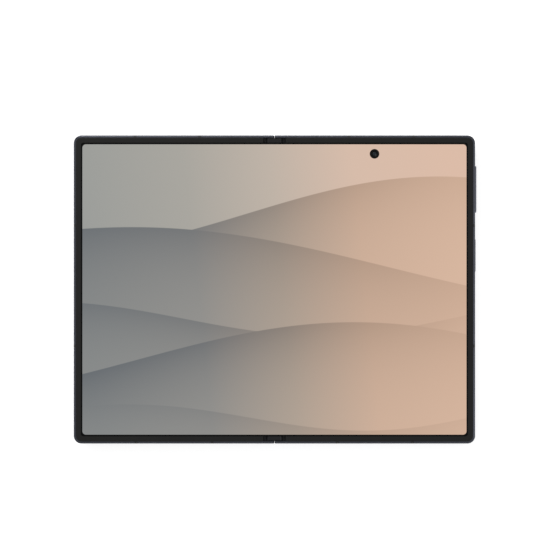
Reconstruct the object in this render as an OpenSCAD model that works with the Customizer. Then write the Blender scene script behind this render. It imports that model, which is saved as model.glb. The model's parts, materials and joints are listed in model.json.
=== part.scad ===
/* [Overall size] */
// Width of the open phone, across both halves
open_w = 161.4; // [158:0.1:166]
// Height of the phone, along the fold
body_h = 123.9; // [122:0.1:128]
// Thickness of each half
body_t = 4.9; // [4.9:0.05:5.2]
// Radius of the four outer corners, seen from the front
corner_r = 3.4; // [2.4:0.1:4]
// Rounding of the frame's front edge
front_edge_r = 0.9; // [0.5:0.1:1]
// Rounding of the frame's rear edge
rear_edge_r = 1.1; // [0.6:0.1:1.1]
// Height of the rear camera island above the rear glass
island_h = 2.4; // [2.2:0.1:3.2]

/* [Walls and pockets] */
// Metal seen from the front between the outer edge and the bezel
rim_w = 0.9; // [0.85:0.05:1.1]
// How far that metal lies below the face of the bezel
rim_drop = 0.2; // [0.1:0.05:0.3]
// Metal seen from the rear between the outer edge and the glass
rear_rim_w = 1.3; // [1.1:0.05:1.4]
// Wall of the frame around the rear pocket
wall = 2.0; // [1.8:0.05:2.1]
// Thickness of the rear glass and of the cover glass
glass_t = 0.5; // [0.4:0.05:0.5]
// Lower face of the web that parts the front pocket from the rear one
web_bottom = 3.45; // [3.4:0.05:3.45]
// Thickness of that web
web_t = 0.4; // [0.35:0.05:0.4]

/* [Display] */
// Width of the raised bezel
bezel_w = 2.1; // [1.9:0.1:2.2]
// Thickness of the folding display
panel_t = 0.5; // [0.4:0.05:0.5]
// Steel sheet bonded under the display
plate_t = 0.2; // [0.15:0.05:0.2]
// Half width of the strip of display that bends
fold_half_w = 8; // [8:0.1:8.5]
// Front camera, right of the fold
camera_x = 40.2; // [38:0.1:41]
// Front camera, above the middle
camera_y = 54.5; // [54:0.1:55]
// Radius of the round opening for the front camera
camera_r = 1.85; // [1.6:0.05:2]

/* [Hinge] */
// Height of the two fold axes above the rear faces
axis_z = 3.9; // [3.88:0.01:3.91]
// Gap between the halves where their rear edges meet
seam = 0.1; // [0.1:0.01:0.12]
// Outer radius of the hinge spine about each fold axis
spine_r = 3.3; // [3.28:0.01:3.32]
// Wall of the spine cover
spine_wall = 0.3; // [0.25:0.05:0.3]
// Clearance between the spine and the troughs of the halves
spine_gap = 0.12; // [0.1:0.01:0.14]
// Middle of each hinge module, up or down from the centre
module_y = 38; // [34:0.5:39]
// Clearance round the curved rails in their grooves
rail_gap = 0.05; // [0.04:0.01:0.06]
// Disc springs on each shaft
spring_count = 10; // [6:2:12]

/* [Keys, ports and tray] */
// Length of the volume key
volume_l = 18.8; // [16:0.1:19]
// Middle of the volume key, above the middle of the right side
volume_y = 40.3; // [38:0.1:42]
// How far the volume key stands proud
volume_out = 0.5; // [0.4:0.01:0.6]
// Length of the power key
power_l = 13.2; // [11:0.1:14]
// Middle of the power key
power_y = 13.7; // [12:0.1:16]
// How far the power key stands proud
power_out = 0.2; // [0.18:0.01:0.3]
// Height of both keys across the edge
key_h = 2.1; // [1.8:0.1:2.2]
// Middle of the charging port along the lower edge, from the fold
port_x = 40.3; // [39:0.1:42]
// Middle of the card tray along the left half's lower edge, from the fold
tray_x = 40.3; // [39:0.1:42]
// Loudspeaker holes in the lower edge
grille_n = 7; // [5:1:8]
// Width of the antenna breaks in the frame
break_w = 1.2; // [1:0.1:1.6]

/* [Hidden] */

$fn = 64;
fine = 96;                                  // segments of the hinge's larger circles
past = 1;                                   // how far a cut runs past the face it opens
touch = 0.1;                                // how far joined solids of one piece run into each other
slack = 0.05;                               // gap round a part that is glued or set in its seat

metal = [0.27, 0.28, 0.30];
key_metal = [0.33, 0.34, 0.37];
dark = [0.13, 0.13, 0.14];
glossy_black = [0.05, 0.05, 0.06];
steel = [0.62, 0.63, 0.65];
board_green = [0.07, 0.20, 0.14];
foil = [0.20, 0.20, 0.22];
gold = [0.80, 0.62, 0.30];

// ---- Faces shared by several parts ------------------------------------------------------------

half_w = open_w / 2;
half_h = body_h / 2;
inner_x = half_w - wall;                    // inner faces of the walls
inner_y = half_h - wall;
rear_z = island_h;                          // the rear faces; the island's face is at zero
web_top = web_bottom + web_t;
plate_top = web_top + plate_t;
panel_top = plate_top + panel_t;
axis_drop = body_t - axis_z;                // the fold axes lie this far below the bezels' faces
rim_top = body_t - rim_drop;
axis_x = axis_drop + seam / 2;              // so the closed halves meet with the same seam
pocket_r = 1.5;                             // corners of the rear pocket
front_seat_r = corner_r - rim_w;            // corners of the front pocket and the bezel
rear_seat_r = corner_r - rear_rim_w;        // corners of the rear cover and its seat
notch_r = 0.5;                              // corners beside the fold, which make the notch in the edge
seam_edge_r = 0.2;                          // rear edges beside the fold
cover_x = 3.0;                              // edge of the rear covers beside the hinge
bezel_lip = 0.45;                           // the bezel reaches this far over the display's edge
bezel_fit = 0.1;                            // gap between bezel and display in their plane
bezel_rise = 0.03;                          // gap between the bezel's lip and the display
bezel_edge_r = 0.4;
bezel_inner_r = 1.0;

// Spine and trough
end_wall = 1.0;                             // wall of the halves beyond the ends of the spine
trough_r = spine_r + spine_gap;
trough_x = axis_x + trough_r;
trough_end = half_h - end_wall;
bezel_x = trough_x - 0.02;                  // the bezels stop beside the end caps
spine_end = trough_end - slack;             // outer faces of the end caps
cap_t = 1.9;
spine_h = spine_end - cap_t;                // half length of the spine cover
fold_h = spine_h - touch;                   // half height of the strip that bends
cap_top = 4.6;
cap_flat = 2.2;                             // half width of the flat top of an end cap
cap_round = 1;                              // rounding beside that flat
cap_shoulder = 3.6;                         // height of the shoulders beside the rounding
cap_edge_r = 0.5;                           // outer top edge of an end cap
plug_l = 2;                                 // plug of a cap inside the spine cover

// Hinge beam of each half, and the wing plate on it
beam_x = 8.6;                               // the beam ends here
beam_top = 3.0;
ledge_x = 6.9;                              // step in the beam that carries the wing plate
wing_x = 2.3;                               // inner edge of a wing plate, next to the fold
wing_t = 0.3;
wing_pivot_x = 7.6;
wing_pivot_z = 3.7;
wing_bead_r = 0.25;
wing_back_x = 8.2;                          // end of the groove that the wing plate turns in
wing_room_h = fold_h + 0.2;

// Hinge modules: places along Y are measured from the middle of a module
right_rail_y = [-13.5, -8.5];
left_rail_y = [-6.5, -1.5];
arm_y = [0.5, 3.3];
gear_y = [3.5, 5.5];
module_end_y = -14.5;
wing_cut_y = [-14, 4];                      // where the wing plates are cut away
wall_1_y = [-0.9, 0.25];                    // bearing walls of the shafts
wall_2_y = [5.75, 6.6];
wall_3_y = [12.7, 14.5];
shaft_y = [-0.7, 14.1];
shaft_r = 0.4;
bearing_gap = 0.04;
rail_r = [1.9, 2.5];                        // inner and outer radius of the curved rails
link_top = 3.5;
link_bottom = axis_z - 0.83;
link_dx = 2.03;                             // the link plate starts this far outside the fold axis
link_end_x = 7.4;
seat_gap = 0.01;                            // under a link plate on its seat
screw_x = 5.9;
screw_dy = [1.3, 3.7];                      // hinge screws, from the start of their rail
screw_r = 0.38;
screw_hole_r = 0.45;
screw_head_r = 0.75;
screw_sink = 0.22;                          // depth of a sunk screw head
screw_end = 1.3;
arm_bottom = 2.95;
arm_end_x = 7.3;
arm_gap = 0.15;
arm_room_bottom = 2.2;                      // floor of an arm's slot in the beam
arm_slot = [3.2, 4.4];                      // slot through an arm, from its gear's axis
arm_cheek = 0.9;                            // metal beside that slot
hub_r = 0.8;
side_gap = 0.1;                             // beside a rail or its link plate
module_top = 2.9;
spine_screw_y = [-7.5, 13.6];
spine_screw_r = [0.36, 0.58];               // shank and head
spine_screw_z = [1.7, 2.1];                 // lower and upper face of the head
spine_floor = axis_z - spine_r + spine_wall;

// Gear train
gear_module = 0.2;                          // pitch diameter over number of teeth
gear_teeth = 8;
pitch_r = gear_module * gear_teeth / 2;
tip_r = pitch_r + 0.85 * gear_module;
root_r = pitch_r - 1.2 * gear_module;
idler_x = pitch_r;
idler_z = 2.0;
idler_pin_r = 0.28;
idler_pin_y = [-0.4, 6.3];
arm_gear_z = 2.6;
arm_gear_x = idler_x + sqrt(4 * pitch_r * pitch_r - (arm_gear_z - idler_z) * (arm_gear_z - idler_z));
disc_r = [0.46, 0.98];                      // disc springs: inner and outer radius
disc_t = 0.25;

// Breaks in the frame: [distance from the fold, +1 for the upper edge or -1 for the lower one]
right_edge_breaks = [[30, 1], [56, 1], [25.2, -1], [55.4, -1]];
left_edge_breaks = [[30, 1], [56, 1], [25, -1], [55.6, -1]];
side_breaks = [25.7, -22.7];                // heights of the breaks in the outer sides
break_depth = 1.7;

// Keys
key_z = 2.45;
key_gap = 0.08;                             // clearance round the keys
key_pocket = 1.5;                           // depth of the keys' slots in the wall
key_back = 0.35;                            // room behind the keys for their travel
key_edge_r = 0.18;
nub = [0.9, 0.8];                           // width and height of the nubs that press the switches
nub_reach = 0.05;                           // how far a nub stands into its hole
nub_hole = [1.4, 1.0];
nub_y = [volume_y - 6, volume_y + 6, power_y];
rock_pin_r = 0.45;                          // pin that the volume key rocks on
rock_pin_h = 1.0;

// Openings in the edges
port_z = 2.2;
port_hole = [9.0, 3.2];                     // width and height
port_shell = [8.94, 3.16];
port_mouth = [8.34, 2.56];
port_tongue = [6.68, 0.7];
port_depth = 7.4;
port_front = 1.2;                           // the shell starts this far inside the edge
port_room = 5;                              // half width of the port's room behind the wall
port_room_depth = 9.8;                      // end of that room, from the lower edge
port_room_r = 0.4;
grille_x = 65;
grille_step = 2;
grille_hole_r = 0.6;
upper_grille_x = 43;
upper_grille_n = 7;
upper_hole_r = 0.55;
mic_r = 0.4;
lower_mic_x = 31.5;
upper_mic_x = 43.5;
left_mic_x = 16;

// Card tray
tray_w = 13;
tray_t = 1.9;
tray_z = 2.3;
tray_depth = 24;
tray_gap = 0.08;
tray_half = tray_w / 2 - 0.3;               // half width of the drawer behind the cap
tray_rail = 1.1;                            // width of the drawer's side rails
tray_shelf = 1.3;                           // width of the ledge that the cards lie on
tray_card_t = 0.7;                          // half thickness of the drawer
eject_dx = 4.6;
eject_r = 0.45;
eject_depth = 1.2;
reader_z = [1.15, 3.43];
reader_wall = 0.65;
reader_skin = 0.15;

// ---- Layout inside the halves: areas are [from the fold, to, from below, to], heights [rear, front]

board_z = [2.45, 3.0];
can_r = 0.8;
part_r = 0.6;                               // corners of the smaller parts
board_hole_r = 0.75;
board_r = 1;
battery_r = 1.2;
tab_z = [1.7, 2.6];                         // terminal tab of a battery
tab_r = 0.3;
small_part_z = [1.35, web_bottom];
magnet_y = [-40, -30];
magnet = [1.25, 4];                         // thickness and half length
magnet_r = 0.2;
right_magnet_z = 0.9;
left_magnet_z = 1.2;
plate_r = 1.2;                              // corners of the display and its steel sheet

// Right half
right_battery_area = [12, inner_x - 1.7, -44, 14];
right_battery_z = [0.95, web_bottom];
right_battery_tab = [30, 60, 14 - touch, 15.5];
main_board_area = [10.2, inner_x - 1.2, 17, inner_y - 0.75];
main_board_holes = [[13, 19.8], [inner_x - 4.1, 19.8], [13, inner_y - 3.55], [inner_x - 4.1, inner_y - 3.55]];
can_z = [1.3, board_z[0]];
board_can_1 = [15, 36, 21, 44];
board_can_2 = [40, inner_x - 7.7, 19.5, 37];
board_can_3 = [16, 34, 21.5, 43];
lower_board_area = [12, 56, -inner_y + 0.75, -45.5];
lower_board_z = [2.9, web_bottom];
loudspeaker_area = [57.8, inner_x - 1.7, -inner_y + 0.45, -45.8];
loudspeaker_z = [0.7, web_bottom];
coil_centre = [44.5, -15];
coil_r = [10.5, 24];
coil_z = [glass_t + 0.02, 0.78];
coil_lead_y = [1, 4];
coil_lead_w = 1.6;
coil_lead_r = 0.2;
loudspeaker_chamber = [7.5, 4, 2];          // half width, half height and corner radius
switch_strip_y = [4, 50];
switch_strip_z = [1.2, 3.2];
switch_strip_t = 0.35;
switch_dome_r = 0.48;
switch_dome_h = 0.29;

// Rear cameras and their island
island_x = half_w - 23.7;
island_y = half_h - 16.45;
island_l = 39;
island_w = 17;
island_edge_r = 0.8;
island_seat = 1.6;                          // the island's foot in the glass is this much narrower
island_hole = 1.5;                          // so is its opening in the glass, all round
lens_dx = 11;
lens_window_r = 6.2;
lens_bore_r = 5.0;
window_z = [0.15, 0.7];                     // above the island's face
flash_r = 1.6;
flash_z = [0.1, 1.5];
island_mic_y = -4.5;                        // microphone hole beside the flash
island_mic_r = 0.35;
main_barrel_r = 4.7;
wide_barrel_r = 4.3;
barrel_z = [-1.7, 1.2];
barrel_edge = [0.6, 0.5];                   // chamfer of a barrel's front: inwards and back
camera_base = 5.6;                          // half width of a camera's square base
camera_base_z = [0.6, web_bottom];
camera_room = 0.3;                          // gap round the cameras' bases in the main board
aperture_r = 1.4;
funnel_z = -1.0;                            // where a barrel's funnel meets the aperture
aperture_end = 0.2;

// Front camera
front_base = 3;                             // half width of the square base
front_base_z = [1.0, web_bottom];
front_funnel_r = [1.1, 0.55];
front_funnel_depth = [0.1, 0.5, 1.0];       // start and end of the funnel, and end of the aperture
front_tube_z = [1.4, panel_top - 0.02];

// Left half
cover_camera_x = 41;
cover_camera_y = half_h - 7.95;
cover_camera_r = 1.7;
cover_display_z = [glass_t + 0.02, glass_t + 0.62];
left_battery_area = [12, inner_x - 1.7, -31, 26];
left_battery_z = [1.3, web_bottom];
left_battery_tab = [30, 60, 26 - touch, 27.5];
left_board_area = [10.2, inner_x - 1.7, 29, 50.5];
left_board_holes = [[13.2, 32], [13.2, 47.8], [inner_x - 4.7, 32], [inner_x - 4.7, 47.8]];
left_can_1 = [46, inner_x - 7.7, 32, 49];
left_can_2 = [20, 38, 31, 46];
left_can_3 = [48, inner_x - 10.7, 33, 48];
top_speaker_area = [45.5, 54, 51.2, inner_y - 0.25];
motor_area = [12, 22, -inner_y + 1.95, -45];

// Ribbon cable over the fold
flex_z = [board_z[1], board_z[1] + 0.15];
flex_run = [9, 11.5];
flex_half_h = 6;
flex_room_h = 9;
flex_right_end = 22;
flex_left_end = 34;

// ---- Plane and solid helpers ------------------------------------------------------------------

// What rounds one corner of an outline: turn 0 is the lower left corner, 90 the lower right one
module corner_cut(x, y, turn, r) {
    translate([x, y]) rotate(turn) difference() {
        translate([-past, -past]) square(r + past);
        translate([r, r]) circle(r);
    }
}

// Rectangle between two corners with all its own corners rounded
module rounded_2d(x0, y0, x1, y1, r) {
    difference() {
        translate([x0, y0]) square([x1 - x0, y1 - y0]);
        corner_cut(x0, y0, 0, r);
        corner_cut(x1, y0, 90, r);
        corner_cut(x1, y1, 180, r);
        corner_cut(x0, y1, 270, r);
    }
}

// Slot with half-round ends, centred
module stadium_2d(l, h) {
    square([l - h, h], center = true);
    for (s = [-1, 1])
        translate([s * (l - h) / 2, 0]) circle(h / 2);
}

module block(x0, x1, y0, y1, z0, z1) {
    translate([x0, y0, z0]) cube([x1 - x0, y1 - y0, z1 - z0]);
}

module rounded_block(x0, x1, y0, y1, z0, z1, r) {
    translate([0, 0, z0]) linear_extrude(z1 - z0) rounded_2d(x0, y0, x1, y1, r);
}

// Rounded block over an area of the layout, between two heights
module slab(area, z, r) {
    rounded_block(area[0], area[1], area[2], area[3], z[0], z[1], r);
}

// Rounded square block about a centre
module pad(x, y, half, z, r) {
    rounded_block(x - half, x + half, y - half, y + half, z[0], z[1], r);
}

// Extrudes a profile drawn in X and Z along Y
module along_y(y0, y1) {
    translate([0, y1, 0]) rotate([90, 0, 0]) linear_extrude(y1 - y0) children();
}

// Extrudes a profile drawn in Y and Z along X
module along_x(x0, x1) {
    translate([x0, 0, 0]) rotate([90, 0, 90]) linear_extrude(x1 - x0) children();
}

module rod_y(x, z, r, y0, y1) {
    translate([x, y1, z]) rotate([90, 0, 0]) cylinder(r = r, h = y1 - y0);
}

module rod_z(x, y, r, z0, z1) {
    translate([x, y, z0]) cylinder(r = r, h = z1 - z0);
}

// Heights in the modules below start at the rear faces
module lifted() {
    translate([0, 0, rear_z]) children();
}

// The left half is drawn as seen from behind, its X counted from the fold
module left_side() {
    lifted() mirror([1, 0, 0]) children();
}

// The hinge has one module above the middle and one below
module at_modules() {
    translate([0, module_y, 0]) children();
    mirror([0, 1, 0]) translate([0, module_y, 0]) children();
}

// ---- Half shells ------------------------------------------------------------------------------

// Front outline of one half, with the rounded corners that make the notch at the fold
module half_outline() {
    difference() {
        translate([seam / 2, -half_h]) square([half_w - seam / 2, body_h]);
        corner_cut(half_w, -half_h, 90, corner_r);
        corner_cut(half_w, half_h, 180, corner_r);
        corner_cut(seam / 2, half_h, 270, notch_r);
        corner_cut(seam / 2, -half_h, 0, notch_r);
    }
}

// Section across the fold: the inner front corner is round about the fold axis
module half_section() {
    difference() {
        translate([seam / 2, 0]) square([half_w - seam / 2, rim_top]);
        corner_cut(half_w, 0, 90, rear_edge_r);
        corner_cut(half_w, rim_top, 180, front_edge_r);
        corner_cut(seam / 2, body_t, 270, axis_drop);
        corner_cut(seam / 2, 0, 0, seam_edge_r);
    }
}

// Section along the fold
module edge_section() {
    difference() {
        translate([-half_h, 0]) square([body_h, rim_top]);
        corner_cut(-half_h, 0, 0, rear_edge_r);
        corner_cut(half_h, 0, 90, rear_edge_r);
        corner_cut(half_h, rim_top, 180, front_edge_r);
        corner_cut(-half_h, rim_top, 270, front_edge_r);
    }
}

module half_solid() {
    intersection() {
        linear_extrude(rim_top) half_outline();
        along_y(-half_h - past, half_h + past) half_section();
        along_x(0, half_w + past) edge_section();
    }
}

// Metal half: walls, web, hinge beam and trough. rail_y is the place of its own rail brackets
module frame_blank(rail_y) {
    front_x = half_w - rim_w;
    front_y = half_h - rim_w;
    rear_x = half_w - rear_rim_w;
    rear_y = half_h - rear_rim_w;
    difference() {
        half_solid();
        // Seat of the rear cover, rear pocket, and front pocket for bezel and display
        rounded_block(cover_x, rear_x, -rear_y, rear_y, -past, glass_t, rear_seat_r);
        rounded_block(beam_x, inner_x, -inner_y, inner_y, -past, web_bottom, pocket_r);
        rounded_block(-past, front_x, -front_y, front_y, web_top, body_t + past, front_seat_r);
        // Trough in which the spine turns
        rod_y(axis_x, axis_z, trough_r, -trough_end, trough_end);
        block(-past, axis_x, -trough_end, trough_end, axis_z - trough_r, body_t);
        block(-past, trough_x, -trough_end, trough_end, axis_z, body_t + past);
        // Room for the wing plate, and the groove that it turns in
        block(trough_x - past, ledge_x, -wing_room_h, wing_room_h, beam_top, body_t);
        block(ledge_x - past, wing_back_x, -wing_room_h, wing_room_h, web_bottom, body_t);
        rod_y(wing_pivot_x, wing_pivot_z, wing_bead_r + slack, -wing_room_h, wing_room_h);
        // Seats of the rail brackets, slots of the swing arms, and holes for the hinge screws
        at_modules() {
            block(trough_x - past, link_end_x + side_gap, rail_y[0] - side_gap, rail_y[1] + side_gap,
                  link_bottom - seat_gap, body_t);
            block(trough_x - past, arm_end_x + 2 * arm_gap, arm_y[0] - arm_gap, arm_y[1] + arm_gap,
                  arm_room_bottom, body_t);
            for (dy = screw_dy)
                rod_z(screw_x, rail_y[0] + dy, screw_hole_r - slack, screw_end - touch, link_top);
        }
        // Passage of the ribbon cable
        block(trough_x - past, beam_x + past, -flex_room_h, flex_room_h, beam_top - slack, web_bottom);
    }
}

// Plastic breaks that keep the frame's parts apart for the antennas
module break_slabs(edge_breaks) {
    for (b = edge_breaks)
        block(b[0] - break_w / 2, b[0] + break_w / 2, b[1] * half_h - break_depth, b[1] * half_h + break_depth,
              -past, body_t + past);
    for (y = side_breaks)
        block(half_w - break_depth, half_w + past, y - break_w / 2, y + break_w / 2, -past, body_t + past);
}

// Row of round holes through the upper or the lower wall, side +1 or -1
module edge_holes(x, n, r, side) {
    y0 = side > 0 ? inner_y - past : -half_h - past;
    for (i = [0 : n - 1])
        rod_y(x + (i - (n - 1) / 2) * grille_step, key_z, r, y0, y0 + wall + 2 * past);
}

// Slot of a key in the right side
module key_slot(y, l) {
    translate([half_w - key_pocket, y, key_z]) rotate([90, 0, 90])
        linear_extrude(key_pocket + past) stadium_2d(l, key_h + 2 * key_gap);
}

// Raised soft bezel on three sides of one half, with a lip over the edge of the display
module bezel_half() {
    outer = half_w - rim_w;
    outer_h = half_h - rim_w;
    body_w = bezel_w - bezel_lip;
    difference() {
        intersection() {
            rounded_block(bezel_x - past, outer, -outer_h, outer_h, web_top, body_t, front_seat_r);
            along_y(-half_h, half_h) difference() {
                translate([bezel_x, 0]) square([outer - bezel_x, body_t]);
                corner_cut(outer, body_t, 180, bezel_edge_r);
            }
            along_x(0, half_w) difference() {
                translate([-outer_h, 0]) square([2 * outer_h, body_t]);
                corner_cut(outer_h, body_t, 180, bezel_edge_r);
                corner_cut(-outer_h, body_t, 270, bezel_edge_r);
            }
        }
        rounded_block(-past, outer - body_w, -outer_h + body_w, outer_h - body_w, 0, panel_top + bezel_rise,
                      plate_r + bezel_fit);
        rounded_block(-past, outer - bezel_w, -outer_h + bezel_w, outer_h - bezel_w, 0, body_t + past,
                      bezel_inner_r);
    }
}

// Rear glass or cover glass of one half
module cover_blank() {
    edge = rear_rim_w + slack;
    rounded_block(cover_x + slack, half_w - edge, -half_h + edge, half_h - edge, 0, glass_t, rear_seat_r);
}

// Pair of magnets that hold the phone closed, against the outer wall
module magnets(z0) {
    for (y = magnet_y)
        rounded_block(inner_x - magnet[0], inner_x, y - magnet[1], y + magnet[1], z0, web_bottom, magnet_r);
}

// Steel sheet or display laminate of one half, outside the strip that bends
module display_sheet(z0, z1) {
    edge = rim_w + bezel_w - bezel_lip + bezel_fit;
    difference() {
        rounded_block(0, half_w - edge, -half_h + edge, half_h - edge, z0, z1, plate_r);
        block(-past, fold_half_w, -half_h, half_h, 0, body_t);
    }
}

// Rail bracket of one half, for one hinge module: a curved rail and the link plate that is screwed down
module rail_bracket(rail_y) {
    // The rail's ring is kept inside this sector, drawn about the fold axis
    rail_sector = [[0, 0], [-3.4641, -2], [-4, -6], [5, -6], [5, -0.85], [2.1, -0.38], [1.6, -0.3]];
    link_x = axis_x + link_dx;
    difference() {
        along_y(rail_y[0], rail_y[1]) {
            translate([axis_x, axis_z]) intersection() {
                difference() {
                    circle(rail_r[1], $fn = fine);
                    circle(rail_r[0], $fn = fine);
                }
                polygon(rail_sector);
            }
            translate([link_x, link_bottom]) square([link_end_x - link_x, link_top - link_bottom]);
        }
        for (dy = screw_dy) {
            rod_z(screw_x, rail_y[0] + dy, screw_hole_r, 0, body_t);
            rod_z(screw_x, rail_y[0] + dy, screw_head_r + slack, link_top - screw_sink, body_t);
        }
    }
}

// Screws of the rail brackets, with a cross in their heads
module hinge_screws(rail_y) {
    cross = [0.45, 0.08];
    for (dy = screw_dy)
        translate([screw_x, rail_y[0] + dy, 0]) difference() {
            union() {
                rod_z(0, 0, screw_head_r, link_top - screw_sink, link_top);
                rod_z(0, 0, screw_r, screw_end, link_top - touch);
            }
            for (turn = [0, 90])
                rotate(turn) block(-cross[0], cross[0], -cross[1], cross[1], link_top - screw_sink / 2,
                                   link_top + past);
        }
}

// Thin plate under the strip that bends; it tilts away as the phone closes
module wing_plate() {
    difference() {
        union() {
            block(wing_x, wing_pivot_x, -fold_h, fold_h, wing_pivot_z, wing_pivot_z + wing_t);
            rod_y(wing_pivot_x, wing_pivot_z, wing_bead_r, -fold_h, fold_h);
        }
        // Room for the rail brackets and swing arms
        at_modules()
            block(wing_x - past, ledge_x + side_gap, wing_cut_y[0], wing_cut_y[1], 0, body_t);
    }
}

module board_with_holes(area, z, holes) {
    difference() {
        slab(area, z, board_r);
        for (p = holes)
            rod_z(p[0], p[1], board_hole_r, 0, body_t);
    }
}

// ---- Right half -------------------------------------------------------------------------------

module right_frame() {
    color(metal) lifted() difference() {
        frame_blank(right_rail_y);
        break_slabs(right_edge_breaks);
        // Charging port, and its room behind the wall
        translate([port_x, -half_h - past, port_z]) rotate([-90, 0, 0])
            linear_extrude(wall + 2 * past) stadium_2d(port_hole[0], port_hole[1]);
        rounded_block(port_x - port_room, port_x + port_room, -inner_y - 2 * touch, -half_h + port_room_depth,
                      glass_t + slack, web_top - slack, port_room_r);
        // Loudspeaker and microphone holes
        edge_holes(grille_x, grille_n, grille_hole_r, -1);
        edge_holes(lower_mic_x, 1, mic_r, -1);
        edge_holes(upper_mic_x, 1, mic_r, 1);
        // Front camera through the web
        rod_z(camera_x, camera_y, camera_r, web_bottom - past, web_top + past);
        // Slots of the keys, holes for their nubs, and the seat of the volume key's pin
        key_slot(volume_y, volume_l + 4 * key_gap);
        key_slot(power_y, power_l + 2 * key_gap);
        for (y = nub_y)
            block(inner_x - past, half_w - key_pocket + past, y - nub_hole[0] / 2, y + nub_hole[0] / 2,
                  key_z - nub_hole[1] / 2, key_z + nub_hole[1] / 2);
        rod_z(half_w - key_pocket, volume_y, rock_pin_r + touch, key_z - rock_pin_h / 2 - touch,
              key_z + rock_pin_h / 2 + touch);
    }
}

module right_antenna_breaks() {
    color(dark) lifted() intersection() {
        frame_blank(right_rail_y);
        break_slabs(right_edge_breaks);
    }
}

module right_bezel() {
    color(dark) lifted() bezel_half();
}

module rear_glass() {
    color([0.16, 0.17, 0.18]) lifted() difference() {
        cover_blank();
        translate([island_x, island_y, -past]) linear_extrude(glass_t + 2 * past)
            stadium_2d(island_l - 2 * island_hole, island_w - 2 * island_hole);
    }
}

// Metal island that carries the lens windows, with round edges and a foot in the glass
module camera_island() {
    straight = (island_l - island_w) / 2;
    module side_2d() {
        difference() {
            translate([0, -island_h]) square([island_w / 2, island_h]);
            corner_cut(island_w / 2, -island_h, 90, island_edge_r);
        }
        square([island_w / 2 - island_seat, glass_t]);
    }
    color(metal) lifted() translate([island_x, island_y, 0]) difference() {
        union() {
            for (s = [-1, 1])
                translate([s * straight, 0, 0]) rotate_extrude($fn = fine) side_2d();
            for (turn = [0, 180])
                rotate(turn) along_x(-straight, straight) side_2d();
        }
        for (s = [-1, 1]) {
            rod_z(s * lens_dx, 0, lens_bore_r, -island_h - past, glass_t + past);
            rod_z(s * lens_dx, 0, lens_window_r, -island_h - past, -island_h + window_z[1]);
        }
        rod_z(0, 0, flash_r, -island_h - past, glass_t + past);
        rod_z(0, island_mic_y, island_mic_r, -island_h - past, glass_t + past);
    }
}

module lens_windows() {
    color(glossy_black) lifted() for (s = [-1, 1])
        rod_z(island_x + s * lens_dx, island_y, lens_window_r - slack / 2, -island_h + window_z[0],
              -island_h + window_z[1]);
}

module flash_window() {
    color([0.90, 0.88, 0.75]) lifted()
        rod_z(island_x, island_y, flash_r, -island_h + flash_z[0], -island_h + flash_z[1]);
}

// Lens barrel on a square base; a funnel leads from the barrel's front to the aperture
module rear_camera(side, barrel_r) {
    cone_out = barrel_r - 1;
    translate([island_x + side * lens_dx, island_y, 0]) difference() {
        union() {
            rotate_extrude() polygon([
                [0, barrel_z[0]], [barrel_r - barrel_edge[0], barrel_z[0]],
                [barrel_r, barrel_z[0] + barrel_edge[1]], [barrel_r, barrel_z[1]], [0, barrel_z[1]]
            ]);
            pad(0, 0, camera_base, camera_base_z, part_r);
        }
        rotate_extrude() polygon([
            [0, barrel_z[0] - past], [cone_out + past, barrel_z[0] - past], [cone_out, barrel_z[0]],
            [aperture_r, funnel_z], [aperture_r, aperture_end], [0, aperture_end]
        ]);
    }
}

module main_camera() {
    color(dark) lifted() rear_camera(-1, main_barrel_r);
}

module wide_camera() {
    color(dark) lifted() rear_camera(1, wide_barrel_r);
}

// Front camera, whose lens tube stands in the display's round opening
module inner_camera() {
    color(dark) lifted() translate([camera_x, camera_y, 0]) difference() {
        union() {
            rod_z(0, 0, camera_r - touch, front_tube_z[0], front_tube_z[1]);
            pad(0, 0, front_base, front_base_z, part_r);
        }
        rotate_extrude() polygon([
            [0, panel_top + past], [front_funnel_r[0], panel_top + past],
            [front_funnel_r[0], panel_top - front_funnel_depth[0]],
            [front_funnel_r[1], panel_top - front_funnel_depth[1]],
            [front_funnel_r[1], panel_top - front_funnel_depth[2]], [0, panel_top - front_funnel_depth[2]]
        ]);
    }
}

module right_battery() {
    color(foil) lifted() union() {
        slab(right_battery_area, right_battery_z, battery_r);
        slab(right_battery_tab, tab_z, tab_r);
    }
}

// Coil for wireless charging: its winding band on a carrier sheet, with the two leads
module charging_coil() {
    color([0.72, 0.42, 0.22]) lifted() translate([coil_centre[0], coil_centre[1], 0]) {
        difference() {
            rod_z(0, 0, coil_r[1], coil_z[0], coil_z[1]);
            rod_z(0, 0, coil_r[0], -past, past);
        }
        for (y = coil_lead_y)
            slab([coil_r[1] - past, coil_r[1] + past, y, y + coil_lead_w],
                 [coil_z[0] + slack / 2, coil_z[1] - slack / 2], coil_lead_r);
    }
}

module main_board() {
    front_room = front_base + camera_room;
    color(board_green) lifted() difference() {
        board_with_holes(main_board_area, board_z, main_board_holes);
        for (side = [-1, 1])
            pad(island_x + side * lens_dx, island_y, camera_base + camera_room, [0, body_t], part_r);
        rounded_block(camera_x - front_room, camera_x + front_room, camera_y - front_room, half_h, 0, body_t,
                      part_r);
    }
}

module shield_cans() {
    color(steel) lifted() {
        slab(board_can_1, can_z, can_r);
        slab(board_can_2, can_z, can_r);
        slab(board_can_3, [board_z[1], web_bottom], can_r);
    }
}

module lower_board() {
    room = port_room + 2 * touch;
    color(board_green) lifted() difference() {
        slab(lower_board_area, lower_board_z, board_r);
        rounded_block(port_x - room, port_x + room, -half_h, -half_h + port_room_depth + 4 * touch, 0, body_t,
                      port_room_r);
    }
}

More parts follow.
